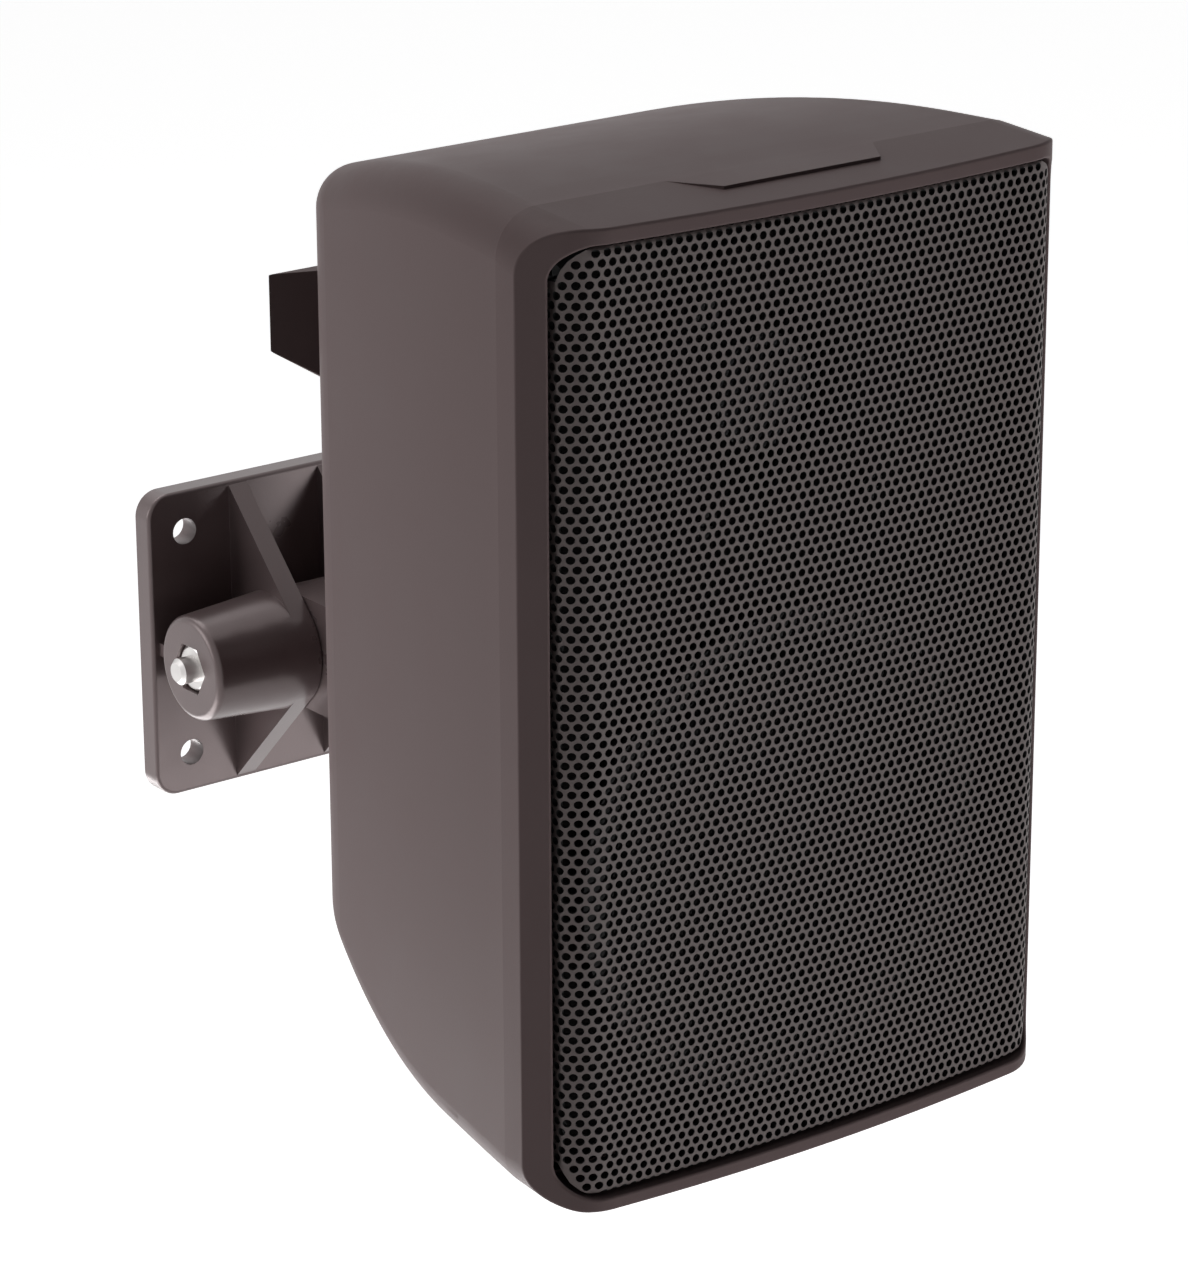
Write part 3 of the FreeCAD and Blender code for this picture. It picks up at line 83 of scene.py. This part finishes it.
def spread(tree, value, low, high, out_low, out_high):
    made = tree.nodes.new("ShaderNodeMapRange")
    made.inputs["From Min"].default_value = low
    made.inputs["From Max"].default_value = high
    made.inputs["To Min"].default_value = out_low
    made.inputs["To Max"].default_value = out_high
    tree.links.new(value, made.inputs["Value"])
    return made.outputs["Result"]


def mix(tree, amount, first, second):
    """A colour between two; each is a colour or another socket."""
    made = tree.nodes.new("ShaderNodeMix")
    made.data_type = "RGBA"
    tree.links.new(amount, made.inputs["Factor"])
    for socket, value in ((made.inputs[6], first), (made.inputs[7], second)):
        if isinstance(value, tuple):
            socket.default_value = (*value, 1)
        else:
            tree.links.new(value, socket)
    return made.outputs[2]


def bump(tree, shader, height, strength, distance):
    made = tree.nodes.new("ShaderNodeBump")
    made.inputs["Strength"].default_value = strength
    made.inputs["Distance"].default_value = distance
    tree.links.new(height, made.inputs["Height"])
    tree.links.new(made.outputs["Normal"], shader.inputs["Normal"])


def tint(colour, by):
    return tuple(channel * by for channel in colour)


def moulded(name, colour, roughness, grain=1600.0, depth=0.00006, painted_edge_highlight=1.35, gloss=0.04):
    """Moulded plastic: a fine spark texture, faint cloudiness, and a painted highlight that lightens the
    sharp edges.
    """
    made, tree, shader = principled(name, colour, roughness, specular=gloss, sheen=(1.0, 0.84, 0.84))
    cloud = noise(tree, 45.0, 4.0, 0.6)
    speck = noise(tree, grain * 1.7, 2.0, 0.5)
    base = mix(tree, spread(tree, cloud, 0.35, 0.65, 0.0, 1.0), tint(colour, 0.97), tint(colour, 1.03))
    base = mix(tree, spread(tree, speck, 0.3, 0.7, 0.0, 1.0), base, tint(colour, 1.02))
    # Painted highlight: sharp edges, found by pointiness, are lightened towards the edge highlight colour
    edge = tree.nodes.new("ShaderNodeNewGeometry").outputs["Pointiness"]
    base = mix(tree, spread(tree, edge, 0.53, 0.62, 0.0, 0.35), base, tint(colour, painted_edge_highlight))
    tree.links.new(base, shader.inputs["Base Color"])
    rough = spread(tree, cloud, 0.3, 0.7, roughness - 0.03, roughness + 0.03)
    tree.links.new(rough, shader.inputs["Roughness"])
    bump(tree, shader, noise(tree, grain, 2.0, 0.55), 0.35, depth)
    return made


# Black for the painted shade in the recess behind the grille
SHADE_BLACK = (0.004, 0.004, 0.004)


def painted_recess_shade(made, low, high):
    """Painted shade: black on the part of a moulding that lies inside a box of the row frame, standing for
    the shade in the recess.
    """
    tree = made.node_tree
    shader = tree.nodes["Principled BSDF"]
    where = tree.nodes.new("ShaderNodeTexCoord")
    axes = tree.nodes.new("ShaderNodeSeparateXYZ")
    tree.links.new(where.outputs["Object"], axes.inputs["Vector"])
    inside_box = None
    for axis, (near, far) in enumerate(zip(low, high)):
        for operation, limit in (("GREATER_THAN", near), ("LESS_THAN", far)):
            test = tree.nodes.new("ShaderNodeMath")
            test.operation = operation
            test.inputs[1].default_value = limit
            tree.links.new(axes.outputs[axis], test.inputs[0])
            if inside_box is None:
                inside_box = test.outputs[0]
                continue
            both = tree.nodes.new("ShaderNodeMath")
            both.operation = "MULTIPLY"
            tree.links.new(inside_box, both.inputs[0])
            tree.links.new(test.outputs[0], both.inputs[1])
            inside_box = both.outputs[0]
    bare = shader.inputs["Base Color"].links[0].from_socket
    tree.links.new(mix(tree, inside_box, bare, SHADE_BLACK), shader.inputs["Base Color"])
    return made


def metal(name, colour, roughness, grain=900.0):
    """Plated steel with a faint drawn grain and cloudy gloss."""
    made, tree, shader = principled(name, colour, roughness, metallic=1.0)
    cloud = noise(tree, 180.0, 4.0, 0.6)
    tree.links.new(mix(tree, cloud, tint(colour, 0.88), tint(colour, 1.06)), shader.inputs["Base Color"])
    rough = spread(tree, cloud, 0.3, 0.7, roughness - 0.07, roughness + 0.08)
    tree.links.new(rough, shader.inputs["Roughness"])
    bump(tree, shader, noise(tree, grain, 3.0, 0.6), 0.15, 0.00004)
    return made


def coated(name, colour, roughness, grain=2600.0):
    """Powder-coated sheet: a fine orange peel and a little tone change."""
    made, tree, shader = principled(name, colour, roughness, specular=0.2)
    cloud = noise(tree, 60.0, 4.0, 0.6)
    base = mix(tree, spread(tree, cloud, 0.35, 0.65, 0.0, 1.0), tint(colour, 0.96), tint(colour, 1.05))
    tree.links.new(base, shader.inputs["Base Color"])
    rough = spread(tree, cloud, 0.3, 0.7, roughness - 0.04, roughness + 0.04)
    tree.links.new(rough, shader.inputs["Roughness"])
    bump(tree, shader, noise(tree, grain, 2.0, 0.5), 0.3, 0.00005)
    return made


def cloth(name, colour, roughness, grain=1500.0):
    """Pressed paper, woven cloth or fibre: mottled and matt."""
    made, tree, shader = principled(name, colour, roughness, specular=0.2)
    fibre = noise(tree, grain, 6.0, 0.7)
    tree.links.new(mix(tree, fibre, tint(colour, 0.6), tint(colour, 1.35)), shader.inputs["Base Color"])
    bump(tree, shader, fibre, 0.6, 0.0002)
    return made


WARM_GREY = (0.118, 0.0868, 0.0868)
finish = {
    "cabinet_plastic": moulded("cabinet_plastic", WARM_GREY, 0.46),
    "bracket_plastic": moulded("bracket_plastic", tint(WARM_GREY, 0.85), 0.30, grain=1300.0, gloss=0.8),
    "grille_paint": coated("grille_paint", (0.123, 0.102, 0.100), 0.55),
    "zinc_steel": metal("zinc_steel", (0.62, 0.60, 0.59), 0.34),
    "black_steel": coated("black_steel", (0.018, 0.018, 0.018), 0.45),
    "soft_rubber": cloth("soft_rubber", (0.014, 0.014, 0.014), 0.6, 900.0),
    "ferrite": coated("ferrite", (0.035, 0.035, 0.038), 0.7, 1200.0),
    "cone_paper": cloth("cone_paper", (0.022, 0.021, 0.021), 0.85),
    "copper": metal("copper", (0.75, 0.36, 0.18), 0.35, 2500.0),
    "spider_cloth": cloth("spider_cloth", (0.42, 0.27, 0.08), 0.8),
    "dome_silk": cloth("dome_silk", (0.03, 0.03, 0.032), 0.55, 3000.0),
    "circuit_board": moulded("circuit_board", (0.02, 0.11, 0.04), 0.4),
    "part_plastic": moulded("part_plastic", (0.03, 0.03, 0.032), 0.45),
    "wadding": cloth("wadding", (0.65, 0.65, 0.6), 0.95, 700.0),
}

slots = {entry["node"]: entry["material_slot"] for entry in frame["record"]["subparts"]}
for node_name, node_object in frame["nodes"].items():
    node_object.data.materials.clear()
    node_object.data.materials.append(finish[slots[node_name]])

# Painted shade: the driver board turns black from so far behind the grille's front back to the wall,
# standing for the shade in the recess behind the grille
SHADE_FROM = 10.0
SHADE_MARGIN = 1.0
pan_low, pan_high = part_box("grille")
shade_low = (pan_low.x - SHADE_MARGIN * MM, pan_low.y + SHADE_FROM * MM, pan_low.z)
shade_high = (pan_high.x + SHADE_MARGIN * MM, 0.0, pan_high.z)
for node_name in ("front_baffle", "tweeter_face"):
    painted = moulded(node_name + "_painted_shade", WARM_GREY, 0.46)
    frame["nodes"][node_name].data.materials[0] = painted_recess_shade(painted, shade_low, shade_high)


def piece(name, points, faces, slot, body, angle=35.0):
    """A mesh piece from placed points, riding on a body."""
    mesh = bpy.data.meshes.new(name)
    mesh.from_pydata(points, [], faces)
    mesh.validate()
    for polygon in mesh.polygons:
        polygon.use_smooth = True
    mesh.set_sharp_from_angle(angle=math.radians(angle))
    mesh.materials.append(finish[slot])
    made = bpy.data.objects.new(name, mesh)
    bpy.context.collection.objects.link(made)
    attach(made, body)
    return made


# Grille: the pressed pan with every hole punched through the sheet, in millimetres

BOW = 757.0  # radius of the bowed front
BOW_SHARE = 70.0 / 80.25  # bowed part of the half width
ROLL = 14.5  # radius between the bow and the bevel
BEVEL = math.radians(43)
BEND = 1.4  # radius of the bends at the rim
SHEET = 1.2
CORNER = 8.7
STRETCH = 1.12  # how far the press draws the holes apart beyond the bow
LIP = 7.0
pan_half = pan_high.x / MM
pan_half_tall = (pan_high.z - pan_low.z) / 2 / MM
pan_floor = (pan_high.y - pan_low.y) / MM

bow_half = pan_half * BOW_SHARE
bow_angle = math.asin(bow_half / BOW)
bow_run = BOW * bow_angle
bow_depth = BOW * (1 - math.cos(bow_angle))
roll_run = ROLL * (BEVEL - bow_angle)
roll_x = bow_half + ROLL * (math.sin(BEVEL) - math.sin(bow_angle))
roll_depth = bow_depth + ROLL * (math.cos(bow_angle) - math.cos(BEVEL))
bevel_run = (pan_half - BEND * (1 - math.sin(BEVEL)) - roll_x) / math.cos(BEVEL)
bevel_x = roll_x + bevel_run * math.cos(BEVEL)
bevel_depth = roll_depth + bevel_run * math.sin(BEVEL)
side_bend_run = BEND * (math.pi / 2 - BEVEL)
side_depth = bevel_depth + BEND * math.cos(BEVEL)
side_run = bow_run + (roll_run + bevel_run + side_bend_run) / STRETCH
run_end = side_run + (pan_floor - side_depth) / STRETCH
bend_start = pan_half_tall - BEND
bend_run = BEND * math.pi / 2
climb_end = bend_start + bend_run + LIP


def across(run):
    """Plan of the pan's outside at a run from the middle of the flat sheet: x, depth and heading."""
    side = math.copysign(1.0, run)
    run = abs(run)
    if run <= bow_run:
        turn = run / BOW
        return side * BOW * math.sin(turn), BOW * (1 - math.cos(turn)), side * turn
    run = (run - bow_run) * STRETCH
    if run <= roll_run:
        turn = bow_angle + run / ROLL
        x = bow_half + ROLL * (math.sin(turn) - math.sin(bow_angle))
        return side * x, bow_depth + ROLL * (math.cos(bow_angle) - math.cos(turn)), side * turn
    run -= roll_run
    if run <= bevel_run:
        return side * (roll_x + run * math.cos(BEVEL)), roll_depth + run * math.sin(BEVEL), side * BEVEL
    run -= bevel_run
    turn = min(math.pi / 2, BEVEL + run / BEND)
    x = bevel_x + BEND * (math.sin(turn) - math.sin(BEVEL))
    depth = bevel_depth + BEND * (math.cos(BEVEL) - math.cos(turn)) + max(0.0, run - side_bend_run)
    return side * x, depth, side * turn


def on_pan(run, climb, inward):
    """The pan at a run across and a climb up the flat sheet, so far in from its outside."""
    x, depth, turn = across(run)
    side = math.copysign(1.0, climb)
    over = abs(climb) - bend_start
    lean = min(math.pi / 2, max(0.0, over / BEND))
    height = min(abs(climb), bend_start) + BEND * math.sin(lean) - inward * math.sin(lean)
    back = BEND * (1 - math.cos(lean)) + max(0.0, over - bend_run)
    aside = inward * math.cos(lean)
    return place(x - math.sin(turn) * aside, depth + back + math.cos(turn) * aside, side * height)


def inside(run, climb):
    """Above zero where a point of the flat sheet lies within the pan's outline."""
    x = abs(across(run)[0]) - (pan_half - CORNER)
    over = abs(climb) - bend_start
    lean = min(math.pi / 2, max(0.0, over / BEND))
    height = min(abs(climb), bend_start) + BEND * math.sin(lean) - (pan_half_tall - CORNER)
    if x > 0 and height > 0:
        return CORNER - math.hypot(x, height)
    return min(run_end - abs(run), climb_end - abs(climb))


def crossing(first, second):
    """Where the outline cuts a line between a point inside it and one outside."""
    for _ in range(16):
        middle = ((first[0] + second[0]) / 2, (first[1] + second[1]) / 2)
        if inside(*middle) >= 0:
            first = middle
        else:
            second = middle
    return first


def clip(polygon):
    """The part of a convex cell that lies inside the outline."""
    kept = []
    for index, point in enumerate(polygon):
        last = polygon[index - 1]
        here, before = inside(*point) >= 0, inside(*last) >= 0
        if here != before:
            kept.append(crossing(point, last) if here else crossing(last, point))
        if here:
            kept.append(point)
    return kept


PITCH = 3.0
ROW = PITCH * math.sqrt(3) / 2
HOLE = 1.1
CELL = PITCH / math.sqrt(3)
SIDES = 12
MIDDLE_ROW = 3.25
MIDDLE_CLIMB = 2.5
FIRST_ROW = -45
LAST_ROW = 53
SHEET_FIRST_ROW = -50
SHEET_LAST_ROW = 59
SPLIT_ROW = 4
COLUMNS = 32
HOLED_RUN = 84.5


def grille_sheet(name, first_row, last_row):
    """Rows of the sheet as a closed mesh: face, back, hole walls and cut edges."""
    points, lookup, faces, inner, rims = [], {}, [], [], {}

    def vertex(run, climb, layer):
        key = (round(run, 3), round(climb, 3), layer)
        if key not in lookup:
            lookup[key] = len(points)
            points.append(on_pan(run, climb, SHEET * layer))
        return lookup[key]

    def both(flat):
        """One face on the front of the sheet and its twin on the back."""
        front = [vertex(*point, 0) for point in flat]
        back = [vertex(*point, 1) for point in flat]
        if len(set(front)) < 3:
            return
        faces.append(front)
        inner.append(back[::-1])
        for index, corner in enumerate(front):
            edge = (front[index - 1], corner)
            if (edge[1], edge[0]) in rims:
                del rims[(edge[1], edge[0])]
            else:
                rims[edge] = (back[index - 1], back[index])

    for row in range(first_row, last_row):
        climb = MIDDLE_CLIMB + ROW * (MIDDLE_ROW - row)
        stagger = 0.0 if row % 2 == 0 else 0.5
        for column in range(-COLUMNS, COLUMNS + 1):
            run = PITCH * (column + stagger)
            corners = [(run + CELL * math.cos(math.radians(30 + 60 * step)),
                        climb + CELL * math.sin(math.radians(30 + 60 * step))) for step in range(6)]
            ring = [(run + HOLE * math.cos(math.tau * step / SIDES),
                     climb + HOLE * math.sin(math.tau * step / SIDES)) for step in range(SIDES)]
            clear = all(inside(*point) >= 0 for point in ring)
            if not (clear and FIRST_ROW <= row <= LAST_ROW and abs(run) < HOLED_RUN):
                both(clip(corners))
                continue
            for step in range(6):
                here, following = corners[step], corners[(step + 1) % 6]
                near, middle, far = (ring[(2 * step + extra) % SIDES] for extra in (1, 2, 3))
                both(clip([near, here, middle]))
                both(clip([here, following, middle]))
                both(clip([middle, following, far]))
    for (start, end), (back_start, back_end) in rims.items():
        inner.append([end, start, back_start, back_end])
    made = piece(name, points, faces + inner, "grille_paint", "speaker")
    # Painted shade: the back of the sheet, the hole walls and the cut edges take black steel, so the holes
    # read as dark as shade
    made.data.materials.append(finish["black_steel"])
    for polygon in made.data.polygons[len(faces):]:
        polygon.material_index = 1
    return made


grille_top = grille_sheet("grille_sheet_upper", SHEET_FIRST_ROW, SPLIT_ROW)
grille_sheet("grille_sheet_lower", SPLIT_ROW, SHEET_LAST_ROW + 1)
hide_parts("grille")

# Smooth shading on the solids
SHARP = math.radians(32)
for node_name in frame["nodes"]:
    mesh = frame["nodes"][node_name].data
    for polygon in mesh.polygons:
        polygon.use_smooth = True
    mesh.set_sharp_from_angle(angle=SHARP)

# Broken edges: copies of the two sharp mouldings stand for them
EDGE = 0.7
EDGE_FROM = math.radians(40)
WELD = 0.001
FACE_WEIGHT = 100
WEIGHT_REACH = 0.0001
for node_name, body in (("terminal_cover", "speaker"), ("wall_bracket", "bracket")):
    moulding = bpy.data.objects.new(node_name + "_moulding", frame["nodes"][node_name].data.copy())
    bpy.context.collection.objects.link(moulding)
    weld = moulding.modifiers.new("weld", "WELD")
    weld.merge_threshold = WELD * MM
    broken = moulding.modifiers.new("broken_edge", "BEVEL")
    broken.width = EDGE * MM
    broken.segments = 2
    broken.limit_method = "ANGLE"
    broken.angle_limit = EDGE_FROM
    flat = moulding.modifiers.new("flat_faces", "WEIGHTED_NORMAL")
    flat.weight = FACE_WEIGHT
    flat.thresh = WEIGHT_REACH
    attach(moulding, body)
    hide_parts(node_name)

# Camera, from the photograph's hole lattice
AZIMUTH = math.radians(37.0894)
TILT = math.radians(19.4460)
CAMERA_ROLL = math.radians(-0.2134)
CAMERA_PLACE = (-0.741486, -1.143006, 0.469479)
FOCAL_PIXELS = 4718.03
PHOTO_PIXELS = 1287.0
SENSOR = 36.0
forward = Vector((math.sin(AZIMUTH) * math.cos(TILT), math.cos(AZIMUTH) * math.cos(TILT), -math.sin(TILT)))
level = Vector((math.cos(AZIMUTH), -math.sin(AZIMUTH), 0))
upward = level.cross(forward)
right = level * math.cos(CAMERA_ROLL) + upward * math.sin(CAMERA_ROLL)
upward = right.cross(forward)
lens = bpy.data.cameras.new("camera")
lens.sensor_width = SENSOR
lens.lens = FOCAL_PIXELS * SENSOR / PHOTO_PIXELS
camera = bpy.data.objects.new("camera", lens)
bpy.context.collection.objects.link(camera)
turned = Matrix((right, upward, -forward)).transposed()
camera.matrix_world = Matrix.Translation(CAMERA_PLACE) @ turned.to_4x4()
bpy.context.scene.camera = camera

# Pale studio: floor, white surround and soft lamps

FLOOR_LEVEL = -0.62
FLOOR_HALF = 12.0
SURROUND_LIGHT = 0.02


def seen_rays(tree):
    """One for rays that show the background to the eye, in metal or through glass, and zero for light."""
    rays = tree.nodes.new("ShaderNodeLightPath")
    seen = rays.outputs["Is Camera Ray"]
    for kind in ("Is Glossy Ray", "Is Transmission Ray"):
        either = tree.nodes.new("ShaderNodeMath")
        either.operation = "MAXIMUM"
        tree.links.new(seen, either.inputs[0])
        tree.links.new(rays.outputs[kind], either.inputs[1])
        seen = either.outputs[0]
    return seen


def pale(name, strength, colour):
    """White to the eye and in reflections, and an ordinary matt surface to everything else."""
    made = bpy.data.materials.new(name)
    made.use_nodes = True
    tree = made.node_tree
    shader = tree.nodes["Principled BSDF"]
    shader.inputs["Base Color"].default_value = (*colour, 1)
    shader.inputs["Roughness"].default_value = 0.9
    shader.inputs["Specular IOR Level"].default_value = 0.1
    shader.inputs["Emission Color"].default_value = (1, 1, 1, 1)
    amount = tree.nodes.new("ShaderNodeMath")
    amount.operation = "MULTIPLY"
    amount.inputs[1].default_value = strength
    tree.links.new(seen_rays(tree), amount.inputs[0])
    tree.links.new(amount.outputs[0], shader.inputs["Emission Strength"])
    return made


floor_mesh = bpy.data.meshes.new("floor")
floor_sides = ((-1, -1), (1, -1), (1, 1), (-1, 1))
floor_corners = [(x * FLOOR_HALF, y * FLOOR_HALF, FLOOR_LEVEL) for x, y in floor_sides]
floor_mesh.from_pydata(floor_corners, [], [(0, 1, 2, 3)])
floor_mesh.materials.append(pale("floor", 0.93, (0.8, 0.8, 0.8)))
floor = bpy.data.objects.new("floor", floor_mesh)
bpy.context.collection.objects.link(floor)

world = bpy.data.worlds.new("studio")
bpy.context.scene.world = world
world.use_nodes = True
tree = world.node_tree
tree.nodes.clear()
out = tree.nodes.new("ShaderNodeOutputWorld")
back = tree.nodes.new("ShaderNodeBackground")
back.inputs["Color"].default_value = (1, 1, 1, 1)
level_node = tree.nodes.new("ShaderNodeMapRange")
level_node.inputs["To Min"].default_value = SURROUND_LIGHT
level_node.inputs["To Max"].default_value = 1.0
tree.links.new(seen_rays(tree), level_node.inputs["Value"])
tree.links.new(level_node.outputs["Result"], back.inputs["Strength"])
tree.links.new(back.outputs["Background"], out.inputs["Surface"])


def lamp(name, where, target, size, power):
    """A soft rectangular lamp turned to a point."""
    data = bpy.data.lights.new(name, "AREA")
    data.shape = "RECTANGLE"
    data.size, data.size_y = size
    data.energy = power
    made = bpy.data.objects.new(name, data)
    bpy.context.collection.objects.link(made)
    made.location = where
    made.rotation_euler = (Vector(target) - Vector(where)).to_track_quat("-Z", "Y").to_euler()


centre = (0.0, -0.18, 0.05)
lamp("top_back_soft", (-0.1, 0.9, 1.7), centre, (1.6, 1.2), 15.0)
lamp("top_soft", (0.0, -0.2, 1.9), centre, (1.6, 1.2), 2.5)
lamp("low_front_soft", (0.3, -1.2, -0.58), centre, (1.2, 1.2), 14.5)
lamp("front_right_soft", (1.5, -1.6, 0.3), centre, (1.2, 1.4), 1.5)
lamp("left_back_soft", (-1.5, 0.7, 0.4), centre, (1.0, 1.0), 10.0)
lamp("left_high_soft", (-1.3, 0.3, 1.2), centre, (0.8, 0.8), 1.2)
lamp("under_soft", (-0.2, 0.1, -0.6), centre, (0.8, 0.8), 8.5)

bpy.context.scene.view_settings.view_transform = "Standard"
